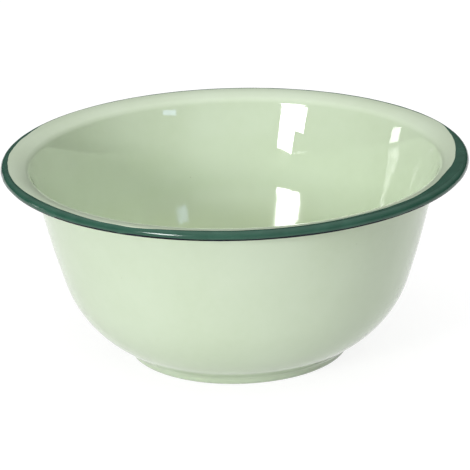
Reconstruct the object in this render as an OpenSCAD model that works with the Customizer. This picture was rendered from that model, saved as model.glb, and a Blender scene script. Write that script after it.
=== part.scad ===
// Enamelled steel basin bowl.
//
// The bowl is one pressed sheet-steel shell with a stepped foot and a hollow curled rim. A dark
// ground coat is fused to both faces of the steel, pale green cover coats lie over it inside and
// outside, and a dark green edging enamel is brushed over the rim bead.
//
// Every piece is a band of even thickness that follows one forming line, the middle of the steel
// sheet. The line starts on the axis, crosses the base, steps down to the foot, climbs the wall,
// sweeps and bends out into the crowned lip and rolls round the curl. Neighbouring bands share their faces.
//
// Frame: millimetres, +Z up, origin on the axis in the plane that the foot rests on.

/* [Bowl] */
// Overall diameter over the enamelled rim bead
rim_d = 260; // [215:1:310]
// Overall height from the resting plane to the top of the rim bead
height = 113; // [90:1:140]
// Diameter of the foot over the enamel
foot_d = 123.5; // [100:0.5:150]

/* [Wall] */
// Angle of the wall where it leaves the foot, from horizontal
wall_start_angle = 25.5; // [20:0.5:32]
// Share of the wall's tangent lines that its round lower arc has, the flatter upper arc having the rest
lower_wall_share = 0.6; // [0.5:0.01:0.7]
// Angle of the wall where it is steepest, below its outward sweep, from horizontal
wall_top_angle = 76.5; // [75:0.1:79]
// Radius of the gentle outward sweep above, on the forming line
sweep_r = 220; // [180:5:300]
// Angle of the wall where the sweep ends and the flare begins, from horizontal
sweep_angle = 69; // [67:0.5:72]

/* [Lip] */
// Bend radius of the flare between wall and lip, on the forming line
flare_r = 4.6; // [3:0.1:6]
// Slope of the lip where it leaves the flare
lip_foot_angle = 22; // [18:0.5:26]
// Radius of the crowned lip, on the forming line
lip_r = 25; // [20:0.5:30]
// Slope of the lip's edge, rising to the curl
lip_angle = 3; // [1:0.5:8]

/* [Foot] */
// Height of the foot's upright side, between its corner and the crease under the wall
foot_side = 0.6; // [0.2:0.1:3]
// Bend radius between the foot's side and its resting ring, on the forming line
corner_r = 2.3; // [1.5:0.1:4]
// Bend radius of the crease between foot and wall, on the forming line
crease_r = 3.6; // [2:0.1:6]
// Width of the flat ring that the foot rests on
land_w = 5; // [3:0.5:10]
// Height of the base panel above the resting ring
panel_rise = 1.6; // [0.6:0.1:3]
// Bend radius of the two bends between resting ring and base panel
step_r = 6; // [3:0.5:10]

/* [Rim bead] */
// Diameter of the rim bead over the edging enamel
bead_d = 5.5; // [5:0.1:8]
// Angle that the sheet turns through in the curl
curl_angle = 280; // [250:5:285]
// Width of the lip's straight edge before the curl, which the edging enamel covers
edging_w = 2; // [1:0.1:4]
// Angle of the curl that the edging enamel covers, over the top and the outer side of the bead
edging_angle = 125; // [90:5:235]

/* [Sheet and enamel] */
// Thickness of the steel sheet
sheet_t = 0.6; // [0.4:0.05:0.8]
// Thickness of the ground coat on each face of the steel
ground_t = 0.15; // [0.1:0.01:0.25]
// Thickness of the cover coats inside and outside
cover_t = 0.25; // [0.15:0.01:0.35]
// Thickness of the edging enamel on the rim bead
edging_t = 0.3; // [0.2:0.01:0.4]

/* [Hidden] */

// Largest distance between a round stretch of the forming line and its chords
chord_gap = 0.02;
upright_angle = 90;
$fn = 128;

steel_colour = "#8d9094";
ground_colour = "#22262b";
cover_colour = "#d3e3c8";
edging_colour = "#3f6b58";

// A step of length 1 at an angle, the angle of a step, and the radius of an arc from its tangent
function along(angle) = [cos(angle), sin(angle)];
function direction(step) = atan2(step[1], step[0]);
function arc_radius(tangent, turn) = abs(tangent / tan(turn / 2));
// How far an arc of radius 1 goes, outward and up, as its heading turns from one angle to another
function unit_arc(from, to) =
    sign(to - from) * [sin(to) - sin(from), cos(from) - cos(to)];

// Distances from the forming line to the faces of the coats
steel_face = sheet_t / 2;
ground_face = steel_face + ground_t;
cover_face = ground_face + cover_t;
edging_face = ground_face + edging_t;

// Forming line of the foot
foot_line_r = foot_d / 2 - cover_face;
foot_h = cover_face + corner_r + foot_side;
step_angle = acos(1 - panel_rise / (2 * step_r));
step_run = 2 * step_r * sin(step_angle);
panel_r = foot_line_r - corner_r - land_w - step_run;

// Forming line of the curl and the lip
curl_r = bead_d / 2 - edging_face;
curl_centre = [rim_d / 2 - bead_d / 2, height - bead_d / 2];
curl_start = curl_centre + curl_r * along(lip_angle + upright_angle);
lip_head = curl_start - edging_w * along(lip_angle);
lip_start = lip_head - lip_r * unit_arc(lip_foot_angle, lip_angle);

// The wall spans what is left between the crease and the sweep with two arcs, whose tangent lines
// meet where one arc runs into the other. The share divides the tangents' length between them.
wall_foot = [foot_line_r, foot_h] + crease_r * unit_arc(upright_angle, wall_start_angle);
sweep_head = lip_start - flare_r * unit_arc(sweep_angle, lip_foot_angle);
wall_head = sweep_head - sweep_r * unit_arc(wall_top_angle, sweep_angle);
wall_span = wall_head - wall_foot;
wall_aim = lower_wall_share * along(wall_start_angle) + (1 - lower_wall_share) * along(wall_top_angle);
aim_lack = 1 - wall_aim * wall_aim;
aim_reach = wall_span * wall_aim;
tangents = (sqrt(aim_reach * aim_reach + aim_lack * wall_span * wall_span) - aim_reach) / aim_lack;
wall_middle_angle = direction(wall_span - tangents * wall_aim);
lower_wall_r = arc_radius(lower_wall_share * tangents, wall_middle_angle - wall_start_angle);
upper_wall_r = arc_radius((1 - lower_wall_share) * tangents, wall_top_angle - wall_middle_angle);

// The forming line's stretches as [name, turn, radius], or [name, 0, length] for a straight one.
// A left turn is positive, and the inside of the bowl is on the left.
LINE = [
    ["panel", 0, panel_r],
    ["panel_bend", -step_angle, step_r],
    ["land_bend", step_angle, step_r],
    ["land", 0, land_w],
    ["corner", upright_angle, corner_r],
    ["side", 0, foot_side],
    ["crease", wall_start_angle - upright_angle, crease_r],
    ["lower_wall", wall_middle_angle - wall_start_angle, lower_wall_r],
    ["upper_wall", wall_top_angle - wall_middle_angle, upper_wall_r],
    ["sweep", sweep_angle - wall_top_angle, sweep_r],
    ["flare", lip_foot_angle - sweep_angle, flare_r],
    ["lip", lip_angle - lip_foot_angle, lip_r],
    ["edged_lip", 0, edging_w],
    ["edged_curl", -edging_angle, curl_r],
    ["bare_curl", edging_angle - curl_angle, curl_r],
];
line_start = [0, cover_face + panel_rise];

function number(name) = search([name], LINE)[0];
function turn(n) = LINE[n][1];
function size(n) = LINE[n][2];
function heading(n) = n == 0 ? 0 : heading(n - 1) + turn(n - 1);
function place(n) = n == 0 ? line_start : place(n - 1) + reach(n - 1);
function reach(n) = turn(n) == 0
    ? size(n) * along(heading(n))
    : size(n) * unit_arc(heading(n), heading(n) + turn(n));
function steps(n) = turn(n) == 0
    ? 1
    : ceil(abs(turn(n)) / (2 * acos(1 - chord_gap / size(n))));

// A point of stretch n, at a share of its length, moved to the left of the line by aside
function spot(n, share, aside) =
    let (at = heading(n) + share * turn(n), left = along(at + upright_angle))
    turn(n) == 0
        ? place(n) + share * reach(n) + aside * left
        : place(n) + size(n) * unit_arc(heading(n), at) + aside * left;

// The points from one named stretch to another, moved to the left of the line by aside
function trace(first, last, aside) = [
    for (n = [number(first) : number(last)], i = [(n == number(first) ? 0 : 1) : steps(n)])
        spot(n, i / steps(n), aside)
];
function reversed(list) = [for (i = [len(list) - 1 : -1 : 0]) list[i]];

// A layer from one named stretch to another, between two distances to the left of the forming line
module layer(first, last, near, far) {
    rotate_extrude()
        polygon(concat(trace(first, last, near), reversed(trace(first, last, far))));
}

// The pressed sheet: base panel, foot, wall, sweep, flare, lip and hollow curl in one piece
module steel_shell() {
    color(steel_colour)
        layer("panel", "bare_curl", -steel_face, steel_face);
}

// Ground coat on the inside face, which becomes the outer face of the curl
module ground_coat_inside() {
    color(ground_colour)
        layer("panel", "bare_curl", steel_face, ground_face);
}

// Ground coat on the outside face, which becomes the lining of the curl
module ground_coat_outside() {
    color(ground_colour)
        layer("panel", "bare_curl", -ground_face, -steel_face);
}

// Pale cover coat inside, from the base over the lip to the edging
module interior_cover_coat() {
    color(cover_colour)
        layer("panel", "lip", ground_face, cover_face);
}

// Pale cover coat outside, from under the base to under the lip
module exterior_cover_coat() {
    color(cover_colour)
        layer("panel", "lip", -cover_face, -ground_face);
}

// Dark edging enamel over the lip's edge and round the bead, whose underside stays bare
module rim_edging_enamel() {
    color(edging_colour)
        layer("edged_lip", "edged_curl", ground_face, edging_face);
}

steel_shell();
ground_coat_inside();
ground_coat_outside();
interior_cover_coat();
exterior_cover_coat();
rim_edging_enamel();
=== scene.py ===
"""Enamelled steel basin bowl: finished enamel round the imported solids, a plain studio and a camera.

Lengths are in metres and angles in radians, in the bowl's own frame: +Z up, the origin on the axis
in the plane that the foot rests on. The camera stands on the -Y side, with +X to its right.
"""

import math

import bmesh
import bpy
import numpy as np
from mathutils import Matrix, Vector


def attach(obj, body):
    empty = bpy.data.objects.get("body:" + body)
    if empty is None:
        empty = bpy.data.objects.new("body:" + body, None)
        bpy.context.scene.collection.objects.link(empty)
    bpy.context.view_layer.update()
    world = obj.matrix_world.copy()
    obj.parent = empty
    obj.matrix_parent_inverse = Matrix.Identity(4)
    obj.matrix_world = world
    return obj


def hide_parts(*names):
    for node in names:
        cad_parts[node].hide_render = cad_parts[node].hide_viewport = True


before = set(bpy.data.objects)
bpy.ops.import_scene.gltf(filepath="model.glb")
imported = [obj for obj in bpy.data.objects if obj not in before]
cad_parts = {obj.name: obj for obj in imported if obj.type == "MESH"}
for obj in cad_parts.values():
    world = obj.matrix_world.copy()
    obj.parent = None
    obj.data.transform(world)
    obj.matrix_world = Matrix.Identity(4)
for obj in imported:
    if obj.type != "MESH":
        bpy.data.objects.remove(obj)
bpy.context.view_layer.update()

SCENE = bpy.context.scene
MM = 0.001
DEGREE = math.pi / 180
UPRIGHT = math.pi / 2

# Sizes of the bowl, the same as in its solids
RIM_R = 130 * MM
HEIGHT = 113 * MM
FOOT_R = 61.75 * MM
WALL_START = 25.5 * DEGREE
LOWER_WALL_SHARE = 0.6
WALL_TOP = 76.5 * DEGREE
SWEEP_R = 220 * MM
SWEEP_END = 69 * DEGREE
FLARE_R = 4.6 * MM
LIP_FOOT = 22 * DEGREE
LIP_R = 25 * MM
LIP = 3 * DEGREE
FOOT_SIDE = 0.6 * MM
CORNER_R = 2.3 * MM
CREASE_R = 3.6 * MM
LAND_W = 5 * MM
PANEL_RISE = 1.6 * MM
STEP_R = 6 * MM
BEAD_R = 2.75 * MM
CURL = 280 * DEGREE
EDGING_W = 2 * MM
EDGED_CURL = 125 * DEGREE

# Distances from the middle of the steel sheet to the faces of its coats
GROUND_FACE = 0.45 * MM
COVER_FACE = 0.7 * MM
EDGING_FACE = 0.75 * MM

# Fineness: columns round the bowl, steps along the forming line, and points of a lookup along it
COAT_COLUMNS = 384
EDGING_COLUMNS = 768
FLAT_STEP = 2 * MM
TURN_STEP = 4 * DEGREE
HIDDEN_STEP = 8 * MM
HIDDEN_TURN_STEP = 12 * DEGREE
LOOKUP_POINTS = 200
WELD = 0.001 * MM


# Forming line: the middle of the steel sheet, from the axis over base, foot and wall to the curl


def along(angle):
    return np.array((math.cos(angle), math.sin(angle)))


def unit_arc(start, end):
    """How far an arc of radius 1 goes, outward and up, as its heading turns from start to end."""
    turned = np.array((math.sin(end) - math.sin(start), math.cos(start) - math.cos(end)))
    return math.copysign(1, end - start) * turned


def forming_line():
    """The line's stretches as (name, turn, radius), or (name, 0, length) for a straight one."""
    foot_line_r = FOOT_R - COVER_FACE
    foot_h = COVER_FACE + CORNER_R + FOOT_SIDE
    step = math.acos(1 - PANEL_RISE / (2 * STEP_R))
    panel_r = foot_line_r - CORNER_R - LAND_W - 2 * STEP_R * math.sin(step)
    curl_r = BEAD_R - EDGING_FACE
    curl_start = np.array((RIM_R - BEAD_R, HEIGHT - BEAD_R)) + curl_r * along(LIP + UPRIGHT)
    lip_head = curl_start - EDGING_W * along(LIP)
    lip_start = lip_head - LIP_R * unit_arc(LIP_FOOT, LIP)

    # Two arcs span the wall, and their tangent lines meet where one runs into the other
    wall_foot = np.array((foot_line_r, foot_h)) + CREASE_R * unit_arc(UPRIGHT, WALL_START)
    sweep_head = lip_start - FLARE_R * unit_arc(SWEEP_END, LIP_FOOT)
    wall_head = sweep_head - SWEEP_R * unit_arc(WALL_TOP, SWEEP_END)
    span = wall_head - wall_foot
    aim = LOWER_WALL_SHARE * along(WALL_START) + (1 - LOWER_WALL_SHARE) * along(WALL_TOP)
    lack = 1 - aim @ aim
    reach = span @ aim
    tangents = (math.sqrt(reach**2 + lack * (span @ span)) - reach) / lack
    middle_run, middle_rise = span - tangents * aim
    wall_middle = math.atan2(middle_rise, middle_run)
    lower_turn = wall_middle - WALL_START
    upper_turn = WALL_TOP - wall_middle
    lower_r = LOWER_WALL_SHARE * tangents / math.tan(lower_turn / 2)
    upper_r = (1 - LOWER_WALL_SHARE) * tangents / math.tan(upper_turn / 2)
    return (
        ("panel", 0, panel_r),
        ("panel_bend", -step, STEP_R),
        ("land_bend", step, STEP_R),
        ("land", 0, LAND_W),
        ("corner", UPRIGHT, CORNER_R),
        ("side", 0, FOOT_SIDE),
        ("crease", WALL_START - UPRIGHT, CREASE_R),
        ("lower_wall", lower_turn, lower_r),
        ("upper_wall", upper_turn, upper_r),
        ("sweep", SWEEP_END - WALL_TOP, SWEEP_R),
        ("flare", LIP_FOOT - SWEEP_END, FLARE_R),
        ("lip", LIP - LIP_FOOT, LIP_R),
        ("edged_lip", 0, EDGING_W),
        ("edged_curl", -EDGED_CURL, curl_r),
        ("bare_curl", EDGED_CURL - CURL, curl_r),
    )


LINE = forming_line()
NAMES = [name for name, turn, size in LINE]
TURNS = np.array([turn for name, turn, size in LINE])
SIZES = np.array([size for name, turn, size in LINE])
LENGTHS = np.where(TURNS == 0, SIZES, np.abs(TURNS) * SIZES)
ENDS = np.cumsum(LENGTHS)
STARTS = ENDS - LENGTHS
HEADINGS = np.concatenate(([0], np.cumsum(TURNS)[:-1]))


def stretch_reach(number, heading, into):
    """How far the line goes in stretch number, from its start to a heading and a length into it."""
    first = HEADINGS[number]
    side = np.sign(TURNS[number]) * SIZES[number]
    straight = np.stack((np.cos(first), np.sin(first)), -1) * into[..., None]
    turned = np.stack((np.sin(heading) - np.sin(first), np.cos(first) - np.cos(heading)), -1)
    return np.where((TURNS[number] == 0)[..., None], straight, turned * side[..., None])


def line_places():
    """Where each stretch of the line starts, as (radius, height)."""
    reaches = stretch_reach(np.arange(len(LINE)), HEADINGS + TURNS, LENGTHS)
    first = np.array((0, COVER_FACE + PANEL_RISE))
    return first + np.concatenate((np.zeros((1, 2)), np.cumsum(reaches, 0)[:-1]))


PLACES = line_places()


def line_at(distance, aside):
    """Points beside the line, as (radius, height), at distances along it and to its left."""
    distance, aside = np.broadcast_arrays(np.asarray(distance, float), np.asarray(aside, float))
    number = np.clip(np.searchsorted(ENDS, distance), 0, len(LINE) - 1)
    into = distance - STARTS[number]
    heading = HEADINGS[number] + TURNS[number] * into / LENGTHS[number]
    left = np.stack((-np.sin(heading), np.cos(heading)), -1)
    return PLACES[number] + stretch_reach(number, heading, into) + aside[..., None] * left


def start_of(name):
    return STARTS[NAMES.index(name)]


def end_of(name):
    return ENDS[NAMES.index(name)]


def climb(height):
    """The distance along the line at which the wall reaches a height."""
    wall = np.linspace(start_of("lower_wall"), end_of("upper_wall"), LOOKUP_POINTS)
    return np.interp(height, line_at(wall, 0)[:, 1], wall)


def stations(last, flat_step, turn_step):
    """Distances along the line from the axis to a last one, closer together on bends."""
    found = [0]
    for start, end, turn in zip(STARTS, np.minimum(ENDS, last), TURNS):
        if start < end:
            steps = math.ceil(max((end - start) / flat_step, abs(turn) / turn_step))
            found.extend(np.linspace(start, end, steps + 1)[1:])
    return np.array(found)


# Shared tools for uneven enamel


def smooth(low, high, value):
    """0 below low, 1 above high, and a smooth step between them."""
    share = np.clip((value - low) / (high - low), 0, 1)
    return share * share * (3 - 2 * share)


def turned(section, angles):
    """The (radius, height) points of a section, turned to the angles of its columns."""
    radius, rise = section[..., 0], section[..., 1]
    return np.stack((radius * np.cos(angles), radius * np.sin(angles), rise), -1)


class Waves:
    """A smooth seeded field in space: many plane waves between two lengths, about -1 to 1."""

    COUNT = 40

    def __init__(self, seed, shortest, longest):
        draw = np.random.default_rng(seed)
        lengths = np.exp(draw.uniform(math.log(shortest), math.log(longest), self.COUNT))
        aims = draw.normal(size=(self.COUNT, 3))
        aims /= np.linalg.norm(aims, axis=1, keepdims=True)
        self.waves = aims * (2 * math.pi / lengths)[:, None]
        self.phases = draw.uniform(0, 2 * math.pi, self.COUNT)

    def at(self, points):
        total = np.zeros(points.shape[:-1])
        for wave, phase in zip(self.waves, self.phases):
            total += np.cos(points @ wave + phase)
        return total / math.sqrt(self.COUNT)


def around(count):
    return np.arange(count) * (2 * math.pi / count)


def turn_from(angles, angle):
    """The turn from an angle to each of the angles, between -pi and pi."""
    return (angles - angle + math.pi) % (2 * math.pi) - math.pi


def lathe(name, face, back, angles, material, slot, node):
    """A closed piece that stands for a node: rows of face, then of back, turned round the axis."""
    section = np.concatenate((face, back[::-1]))
    rows, columns = section.shape[:2]
    corner = np.arange(rows * columns).reshape(rows, columns)
    on_axis = section[0, 0, 0] == 0
    here, there = (corner[:-1], corner[1:]) if on_axis else (corner, np.roll(corner, -1, 0))
    quads = (here, np.roll(here, -1, 1), np.roll(there, -1, 1), there)
    mesh = bpy.data.meshes.new(name)
    mesh.from_pydata(
        turned(section, angles).reshape(-1, 3).tolist(),
        [],
        np.stack(quads, -1).reshape(-1, 4).tolist(),
    )
    shape = bmesh.new()
    shape.from_mesh(mesh)
    bmesh.ops.remove_doubles(shape, verts=shape.verts, dist=WELD)
    bmesh.ops.recalc_face_normals(shape, faces=shape.faces)
    shape.to_mesh(mesh)
    shape.free()
    mesh.shade_smooth()
    mesh.materials.append(material)
    piece = bpy.data.objects.new(name, mesh)
    SCENE.collection.objects.link(piece)
    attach(piece, "root")
    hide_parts(node)


# Materials, with linear colours

COVER_PALE = (0.635, 0.735, 0.565, 1)
COVER_DEEP = (0.60, 0.70, 0.52, 1)
COVER_MILKY = (0.66, 0.75, 0.59, 1)
# Painted shade: a yellower green for the lower inner wall, standing for light bounced inside the bowl
COVER_POOLED = (0.62, 0.72, 0.48, 1)
COVER_SPECK = (0.42, 0.47, 0.33, 1)
COVER_IOR = 1.6
EDGING_GREEN = (0.034, 0.112, 0.075, 1)
EDGING_DEEP = (0.022, 0.082, 0.054, 1)
EDGING_DUST = (0.10, 0.20, 0.15, 1)
GROUND_BLACK = (0.008, 0.009, 0.012, 1)
GROUND_BLUE = (0.014, 0.018, 0.03, 1)
GROUND_FLECK = (0.05, 0.032, 0.02, 1)
STEEL_BRIGHT = (0.58, 0.58, 0.59, 1)
STEEL_DARK = (0.36, 0.36, 0.375, 1)

# Heights between which the pooled inner coat gets duller and takes a deeper painted shade, for light
# bounced low in the bowl, and how much rougher it gets
TINT_STARTS = 66 * MM
TINT_FULL = 34 * MM
DULL_FULL = 48 * MM
DULL_ROUGHNESS = 0.06


class Nodes:
    """Short calls that add nodes to a tree."""

    def __init__(self, owner):
        owner.use_nodes = True
        self.tree = owner.node_tree

    def feed(self, socket, value):
        """Links an output to a socket, or sets the socket to a plain value."""
        if isinstance(value, bpy.types.NodeSocket):
            self.tree.links.new(value, socket)
        else:
            socket.default_value = value

    def node(self, kind, *values, **settings):
        made = self.tree.nodes.new("ShaderNode" + kind)
        for setting, value in settings.items():
            setattr(made, setting, value)
        for socket, value in zip(made.inputs, values):
            self.feed(socket, value)
        return made

    def math(self, operation, *values):
        return self.node("Math", *values, operation=operation).outputs[0]


class Shader(Nodes):
    """A material with a Principled shader, and short calls for what feeds it."""

    def __init__(self, name, **sockets):
        self.material = bpy.data.materials.new(name)
        super().__init__(self.material)
        self.surface = self.tree.nodes["Principled BSDF"]
        self.place = self.node("TexCoord").outputs["Object"]
        for socket, value in sockets.items():
            self.feed(self.surface.inputs[socket.replace("_", " ")], value)

    def noise(self, size, detail=2.0, roughness=0.5, stretch=(1, 1, 1)):
        """Noise from 0 to 1 with features of about the given size, stretched along the axes."""
        scale = tuple(1 / (size * share) for share in stretch)
        place = self.node("VectorMath", self.place, scale, operation="MULTIPLY").outputs[0]
        made = self.node("TexNoise")
        self.feed(made.inputs["Vector"], place)
        for socket, value in (("Scale", 1.0), ("Detail", detail), ("Roughness", roughness)):
            self.feed(made.inputs[socket], value)
        return made.outputs["Fac"]

    def ramp(self, value, low, high, to_low=0.0, to_high=1.0):
        made = self.node("MapRange", value, low, high, to_low, to_high)
        return made.outputs["Result"]

    def mix(self, share, first, second):
        made = self.node("Mix", data_type="RGBA")
        self.feed(made.inputs["Factor"], share)
        self.feed(made.inputs[6], first)
        self.feed(made.inputs[7], second)
        return made.outputs[2]

    def specks(self, cell, size, share):
        """1 inside sparse round specks of a size, in a share of the cells, and 0 elsewhere."""
        made = self.node("TexVoronoi")
        self.feed(made.inputs["Vector"], self.place)
        self.feed(made.inputs["Scale"], 1 / cell)
        near = self.ramp(made.outputs["Distance"], 0.7 * size / cell, 0.4 * size / cell)
        parts = self.node("SeparateColor", made.outputs["Color"]).outputs
        return self.math("MULTIPLY", near, self.math("LESS_THAN", parts[0], share))

    def bump(self, height, distance):
        made = self.node("Bump")
        self.feed(made.inputs["Height"], height)
        self.feed(made.inputs["Distance"], distance)
        self.feed(self.surface.inputs["Normal"], made.outputs["Normal"])

    def colour(self, value):
        self.feed(self.surface.inputs["Base Color"], value)

    def roughness(self, value):
        self.feed(self.surface.inputs["Roughness"], value)


def cover_enamel(name, pooled, shine):
    """Pale green glass: drifting, mottled pigment with specks, duller by a share where it pooled, with a
    deeper painted shade there for light bounced low in the bowl, and scuffed where the bowl rests.
    """
    coat = Shader(name, IOR=COVER_IOR, Specular_IOR_Level=shine)
    drift = coat.ramp(coat.noise(60 * MM, 3), 0.35, 0.65)
    mottle = coat.ramp(coat.noise(5 * MM, 4), 0.3, 0.7)
    pale = coat.mix(drift, COVER_DEEP, COVER_PALE)
    milky = coat.mix(coat.math("MULTIPLY", mottle, 0.25), pale, COVER_MILKY)
    height = coat.node("SeparateXYZ", coat.place).outputs["Z"]
    blotches = coat.ramp(coat.noise(40 * MM, 2), 0.35, 0.65, 0.4, 1)
    # Painted shade: the lower inner wall is tinted deeper, in blotches, for light bounced inside the bowl
    pool = coat.math("MULTIPLY", coat.ramp(height, TINT_STARTS, TINT_FULL, 0, pooled), blotches)
    deep = coat.mix(pool, milky, COVER_POOLED)
    coat.colour(coat.mix(coat.specks(9 * MM, 0.45 * MM, 0.12), deep, COVER_SPECK))
    scuffs = coat.ramp(coat.noise(1.2 * MM, 5, 0.7), 0.35, 0.65)
    resting = coat.math("MULTIPLY", coat.ramp(height, 0.5 * MM, 0.1 * MM), scuffs)
    gloss = coat.ramp(coat.noise(14 * MM, 4), 0.3, 0.7, 0.02, 0.045)
    dull = coat.ramp(height, TINT_STARTS, DULL_FULL, 0, DULL_ROUGHNESS * pooled)
    softer = coat.math("ADD", gloss, dull)
    coat.roughness(coat.math("ADD", softer, coat.math("MULTIPLY", resting, 0.35)))
    coat.bump(coat.noise(1.6 * MM, 1), 0.004 * MM)
    return coat.material


def edging_enamel(name):
    """Dark green glass, brushed on by hand: clouds of pigment, a fine mottle and specks of dust."""
    coat = Shader(name, Specular_IOR_Level=0.3)
    cloud = coat.ramp(coat.noise(9 * MM, 4), 0.3, 0.7)
    fine = coat.ramp(coat.noise(0.9 * MM, 3), 0.3, 0.7)
    green = coat.mix(cloud, EDGING_DEEP, EDGING_GREEN)
    mottled = coat.mix(coat.math("MULTIPLY", fine, 0.3), green, EDGING_DEEP)
    dusty = coat.mix(coat.specks(5 * MM, 0.5 * MM, 0.2), mottled, EDGING_DUST)
    coat.colour(dusty)
    coat.roughness(coat.ramp(coat.noise(4 * MM, 4), 0.3, 0.7, 0.08, 0.2))
    coat.bump(coat.noise(1.1 * MM, 2), 0.012 * MM)
    return coat.material


def ground_enamel(name):
    """Blue-black ground coat: dull glass with a fine grain and rusty brown flecks."""
    coat = Shader(name, Specular_IOR_Level=0.0)
    cloud = coat.ramp(coat.noise(6 * MM, 4), 0.35, 0.65)
    black = coat.mix(cloud, GROUND_BLACK, GROUND_BLUE)
    coat.colour(coat.mix(coat.specks(1.5 * MM, 0.5 * MM, 0.3), black, GROUND_FLECK))
    coat.roughness(coat.ramp(coat.noise(2 * MM, 3), 0.3, 0.7, 0.4, 0.6))
    coat.bump(coat.noise(0.8 * MM, 2), 0.02 * MM)
    return coat.material


def sheet_steel(name):
    """Cold-rolled steel: fine grain along the rolling direction, with a dull pickled haze."""
    sheet = Shader(name, Metallic=1.0)
    grain = sheet.noise(0.5 * MM, 3, 0.6, stretch=(14, 1, 1))
    haze = sheet.ramp(sheet.noise(12 * MM, 4), 0.3, 0.7)
    bright = sheet.mix(sheet.ramp(grain, 0.3, 0.7), STEEL_DARK, STEEL_BRIGHT)
    sheet.colour(sheet.mix(sheet.math("MULTIPLY", haze, 0.4), bright, STEEL_DARK))
    sheet.roughness(sheet.ramp(grain, 0.3, 0.7, 0.28, 0.5))
    sheet.bump(grain, 0.01 * MM)
    return sheet.material


# Cover coats: rippled, thicker low on the inner wall and in the outer crease, even where the bowl rests

INNER_RIPPLE = 0.012 * MM
OUTER_RIPPLE = 0.04 * MM
INNER_WAVES = Waves(11, 22 * MM, 70 * MM)
OUTER_WAVES = Waves(12, 30 * MM, 90 * MM)
POOL = 1.3 * MM
POOL_FOOT = climb(6 * MM)
POOL_TOP = climb(38 * MM)
POOL_HEAD = climb(61 * MM)
INNER_END = start_of("edged_curl") + 2.2 * MM
INNER_TAPER = 0.9 * MM
OUTER_END = end_of("lip")
CREASE_FILL_SLOPE = 0.3
CREASE_FILL_RUN = 8 * MM
LAND_FADE = 3 * MM


def inner_face(distance, angles):
    """How far the interior coat's face lies to the left of the line. The coat ends under the edging."""
    ripple = INNER_RIPPLE * INNER_WAVES.at(turned(line_at(distance, COVER_FACE), angles))
    pool = POOL * (smooth(POOL_FOOT, POOL_TOP, distance) - smooth(POOL_TOP, POOL_HEAD, distance))
    taper = 1 - smooth(INNER_END - INNER_TAPER, INNER_END, distance)
    return GROUND_FACE + taper * (COVER_FACE - GROUND_FACE + ripple + pool)


def crease_fill(distance):
    """How much thicker the exterior coat is where it settled in the crease, which this rounds off."""
    spots = (start_of("corner"), start_of("crease"), end_of("crease"), end_of("crease") + CREASE_FILL_RUN)
    fall = CREASE_FILL_SLOPE * (spots[2] - spots[0]) / (spots[3] - spots[1])
    fine = np.linspace(spots[0], spots[3], LOOKUP_POINTS)
    slope = np.interp(fine, spots, (0, CREASE_FILL_SLOPE, -fall, 0))
    return np.interp(distance, fine, np.cumsum(slope) * (fine[1] - fine[0]), 0, 0)


def outer_face(distance, angles):
    """How far the exterior coat's face lies to the left of the line, which is less than zero."""
    ripple = OUTER_RIPPLE * OUTER_WAVES.at(turned(line_at(distance, -COVER_FACE), angles))
    before = 1 - smooth(start_of("land") - LAND_FADE, start_of("land"), distance)
    after = smooth(end_of("land"), end_of("land") + LAND_FADE, distance)
    return -COVER_FACE - ripple * (before + after) - crease_fill(distance)


def cover_coat(name, node, face, ground, last, pooled, shine):
    """A cover coat between its face and the ground coat, up to a last distance along the line."""
    angles = around(COAT_COLUMNS)
    seen = stations(last, FLAT_STEP, TURN_STEP)[:, None] + 0 * angles
    hidden = stations(last, HIDDEN_STEP, HIDDEN_TURN_STEP)[:, None] + 0 * angles
    rows = line_at(seen, face(seen, angles)), line_at(hidden, ground)
    lathe(name, *rows, angles, cover_enamel(name, pooled, shine), "cover_enamel", node)


# The interior coat gets the painted low shade and the dulling, the exterior coat neither
cover_coat(
    "interior_enamel", "interior_cover_coat", inner_face, GROUND_FACE, INNER_END, pooled=1.0, shine=0.5,
)
cover_coat(
    "exterior_enamel", "exterior_cover_coat", outer_face, -GROUND_FACE, OUTER_END, pooled=0.0, shine=0.2,
)


# Rim edging, brushed on by hand over the lip's edge and the bead

EDGING_ROWS = 49
EDGING_BACK_STEP = 4
EDGING_ROUND = 0.5 * MM
EDGING_BRUSH = 0.12 * MM
EDGING_BARE = 0.35 * MM
EDGING_UNEVEN = 0.18
LAP_T = 0.1 * MM
# The inner edge round the rim: an angle in degrees, and how far it lies past the start of the curl in mm
INNER_EDGE = (
    (-170, -1.1), (-142, -1.5), (-131, -0.3), (-124, 0.7), (-114, 1.2), (-100, -1.4), (-80, -1.6),
    (-60, -3.2), (-40, -3.6), (-30, -5.2), (-20, -6.7), (-8, -5.0), (0, -4.3), (8, -2.5), (16, -0.9),
    (23, 0.9), (32, -0.1), (112, -0.1), (132, 0.4), (148, 0.7), (158, -0.8),
)
INNER_EDGE_BLUR = 9 * DEGREE
# Drips at the lower edge: an angle in degrees, and the length and half the width in mm
DRIPS = (
    (-139, 1.0, 1.3), (-118, 0.4, 2.5), (-38, 0.4, 3.0), (17, 0.8, 2.0), (75, 0.7, 2.2), (160, 0.6, 2.6),
)


def inner_edge(angles):
    """The distance along the line of the edging's inner edge at each angle."""
    spots, shifts = np.array(INNER_EDGE).T
    even = np.interp(angles, spots * DEGREE, shifts * MM, period=2 * math.pi)
    width = 2 * round(INNER_EDGE_BLUR / (angles[1] - angles[0]) / 2) + 1
    bell = np.hanning(width + 2)[1:-1]
    wrapped = np.concatenate((even[-(width // 2):], even, even[:width // 2]))
    return start_of("edged_curl") + np.convolve(wrapped, bell / bell.sum(), "valid")


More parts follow.
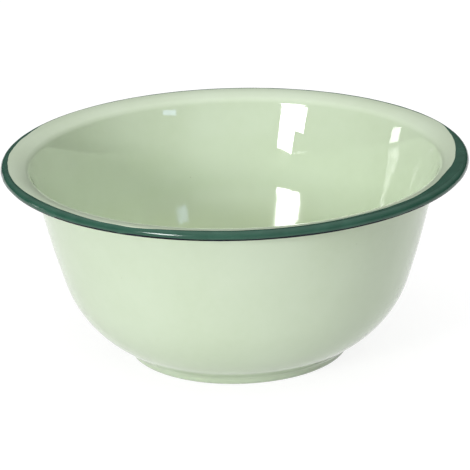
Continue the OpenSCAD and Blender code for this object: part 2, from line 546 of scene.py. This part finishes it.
def rim_edging(name, node):
    """The edging, from its uneven inner edge over the bead to its lower edge with the drips."""
    angles = around(EDGING_COLUMNS)
    rim = turned(line_at(start_of("edged_curl") + 0 * angles, EDGING_FACE), angles)
    first = inner_edge(angles) + EDGING_BRUSH * Waves(21, 9 * MM, 60 * MM).at(rim)
    last = end_of("edged_curl") - EDGING_BARE + EDGING_BRUSH * Waves(22, 14 * MM, 80 * MM).at(rim)
    for angle, length, width in DRIPS:
        apart = turn_from(angles, angle * DEGREE) * RIM_R / (width * MM)
        last = last + length * MM * np.exp(-apart * apart)
    share = (1 - np.cos(np.linspace(0, math.pi, EDGING_ROWS)))[:, None] / 2
    distance = first + share * (last - first)
    ground = inner_face(distance, angles)
    lap = np.clip((ground - GROUND_FACE) / (COVER_FACE - GROUND_FACE), 0, 1)
    thick = (1 - lap) * (EDGING_FACE - GROUND_FACE) + lap * LAP_T
    from_edge = np.minimum(distance - first, last - distance) / EDGING_ROUND
    thick *= np.sqrt(1 - (1 - np.clip(from_edge, 0, 1)) ** 2)
    even = turned(line_at(distance, EDGING_FACE), angles)
    thick *= 1 + EDGING_UNEVEN * Waves(23, 6 * MM, 30 * MM).at(even)
    face = line_at(distance, ground + thick)
    back = line_at(distance, ground)[::EDGING_BACK_STEP]
    lathe(name, face, back, angles, edging_enamel(name), "edging_enamel", node)


rim_edging("rim_edging", "rim_edging_enamel")


# Layers that hardly show keep their solids

for node, finish in (
    ("steel_shell", sheet_steel),
    ("ground_coat_inside", ground_enamel),
    ("ground_coat_outside", ground_enamel),
):
    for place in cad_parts[node].material_slots:
        place.material = finish(node)


# Studio: a pale floor, daylight from above and from the front, and windows

MOUTH_MIDDLE = Vector((0, 0, HEIGHT))
# Bright sides of the room: azimuth and elevation in degrees, and radiance in the middle
SKY_LOBES = ((0, 90, 1.4), (10, 15, 0.45))
SKY_LOBE_POWER = 2
FLOOR_SIZE = 10.0
FLOOR_HEIGHT = -0.05 * MM
# The floor's albedo where it lights the bowl, and where it is seen, the low one that keeps the
# shadow, with an even glow
FLOOR_ALBEDO = 0.86
SHADOW_SHARE = 0.22
FLOOR_GLOW = 0.86
LIGHT_DISTANCE = 4.0


def towards(azimuth, elevation):
    """A direction: azimuth 0 points at the camera's side, and is positive to the right."""
    level = math.cos(elevation)
    return Vector((math.sin(azimuth) * level, -math.cos(azimuth) * level, math.sin(elevation)))


def daylight():
    """Dark surroundings with broad bright sides, each of which falls off to nothing at a right angle."""
    world = bpy.data.worlds.new("surroundings")
    sky = Nodes(world)
    direction = sky.node("TexCoord").outputs["Generated"]
    total = 0.0
    for azimuth, elevation, radiance in SKY_LOBES:
        middle = towards(azimuth * DEGREE, elevation * DEGREE)
        facing = sky.node("VectorMath", direction, middle, operation="DOT_PRODUCT").outputs["Value"]
        lobe = sky.math("POWER", sky.math("MAXIMUM", facing, 0), SKY_LOBE_POWER)
        total = sky.math("MULTIPLY_ADD", lobe, radiance, total)
    back = sky.tree.nodes["Background"]
    back.inputs["Color"].default_value = (1, 1, 1, 1)
    sky.feed(back.inputs["Strength"], total)
    SCENE.world = world


def pale_floor():
    """A pale floor a hair below the foot, that shows as white, with a faint shadow."""
    mesh = bpy.data.meshes.new("floor")
    half = FLOOR_SIZE / 2
    corners = ((-half, -half), (half, -half), (half, half), (-half, half))
    mesh.from_pydata([(x, y, FLOOR_HEIGHT) for x, y in corners], [], [(0, 1, 2, 3)])
    floor = bpy.data.objects.new("floor", mesh)
    SCENE.collection.objects.link(floor)
    material = bpy.data.materials.new("floor")
    mesh.materials.append(material)
    look = Nodes(material)
    path = look.node("LightPath").outputs
    mirrored = look.math("MAXIMUM", path["Is Glossy Ray"], path["Is Transmission Ray"])
    seen = look.math("MAXIMUM", path["Is Camera Ray"], mirrored)
    lit = look.node("BsdfDiffuse", (FLOOR_ALBEDO, FLOOR_ALBEDO, FLOOR_ALBEDO, 1)).outputs[0]
    shadowed = look.node("BsdfDiffuse", (SHADOW_SHARE, SHADOW_SHARE, SHADOW_SHARE, 1)).outputs[0]
    glow = look.node("Emission", (1, 1, 1, 1), FLOOR_GLOW).outputs[0]
    shown = look.node("AddShader", shadowed, glow).outputs[0]
    choice = look.node("MixShader", seen, lit, shown).outputs[0]
    look.feed(look.tree.nodes["Material Output"].inputs["Surface"], choice)


def window(name, middle, size, radiance, tilt=0, colour=(1, 1, 1), lights=True, shows=True):
    """A window or a pale wall that faces the bowl: its middle as azimuth and elevation, its size and its
    tilt, all in degrees. It lights the bowl, or shows in its reflections, or both.
    """
    azimuth, elevation = (angle * DEGREE for angle in middle)
    width, height = (2 * LIGHT_DISTANCE * math.tan(angle / 2 * DEGREE) for angle in size)
    light = bpy.data.lights.new(name, "AREA")
    light.shape = "RECTANGLE"
    light.size, light.size_y = width, height
    light.energy = radiance * math.pi * width * height
    light.color = colour
    lamp = bpy.data.objects.new(name, light)
    outward = towards(azimuth, elevation)
    facing = (-outward).to_track_quat("-Z", "Y").to_matrix() @ Matrix.Rotation(tilt * DEGREE, 3, "Z")
    lamp.matrix_world = Matrix.Translation(MOUTH_MIDDLE + LIGHT_DISTANCE * outward) @ facing.to_4x4()
    lamp.visible_camera = False
    lamp.visible_diffuse = lights
    lamp.visible_glossy = shows
    SCENE.collection.objects.link(lamp)


daylight()
pale_floor()
window("key", (-38.0, 15.5), (11.0, 11.0), 41.0, shows=False)
window("tall_pane", (-32.9, 16.7), (9.2, 16.0), 40.0, tilt=13, lights=False)
window("side_pane", (-41.0, 18.6), (5.8, 8.7), 40.0, tilt=13, lights=False)
window("top_pane", (-36.5, 26.5), (13.0, 5.0), 25.0, lights=False)
window("left_pane", (-107.5, 4.5), (6.5, 9.0), 7.0, lights=False)
window("front_wall", (2.0, 19.0), (50.0, 9.0), 0.3, colour=(0.8, 0.9, 1), lights=False)
window("blue_window", (38.7, 22.2), (7.2, 2.4), 5.0, colour=(0.55, 0.65, 1), lights=False)


# Camera, at the photograph's viewing angle

PICTURE = 470
SENSOR = 36.0
TARGET = Vector((0, 0, HEIGHT - BEAD_R))
TARGET_PIXEL = (234.6, 159.8)
CAMERA_DISTANCE = 1.82
CAMERA_ELEVATION = 18.21 * DEGREE
CAMERA_ROLL = 1.426 * DEGREE
FOCAL_PIXELS = 3272


def photo_camera():
    data = bpy.data.cameras.new("camera")
    data.sensor_width = SENSOR
    data.lens = FOCAL_PIXELS * SENSOR / PICTURE
    back = towards(0, CAMERA_ELEVATION)
    right = Vector((1, 0, 0))
    up = back.cross(right)
    picture_x = math.cos(CAMERA_ROLL) * right - math.sin(CAMERA_ROLL) * up
    picture_y = math.sin(CAMERA_ROLL) * right + math.cos(CAMERA_ROLL) * up
    across = PICTURE / 2 - TARGET_PIXEL[0]
    down = PICTURE / 2 - TARGET_PIXEL[1]
    forward = (-FOCAL_PIXELS * back + across * picture_x - down * picture_y).normalized()
    level_x = (picture_x - picture_x.dot(forward) * forward).normalized()
    axes = Matrix((level_x, (-forward).cross(level_x), -forward)).transposed()
    camera = bpy.data.objects.new("camera", data)
    camera.matrix_world = Matrix.Translation(TARGET + CAMERA_DISTANCE * back) @ axes.to_4x4()
    SCENE.collection.objects.link(camera)
    SCENE.camera = camera


photo_camera()
SCENE.view_settings.view_transform = "Standard"
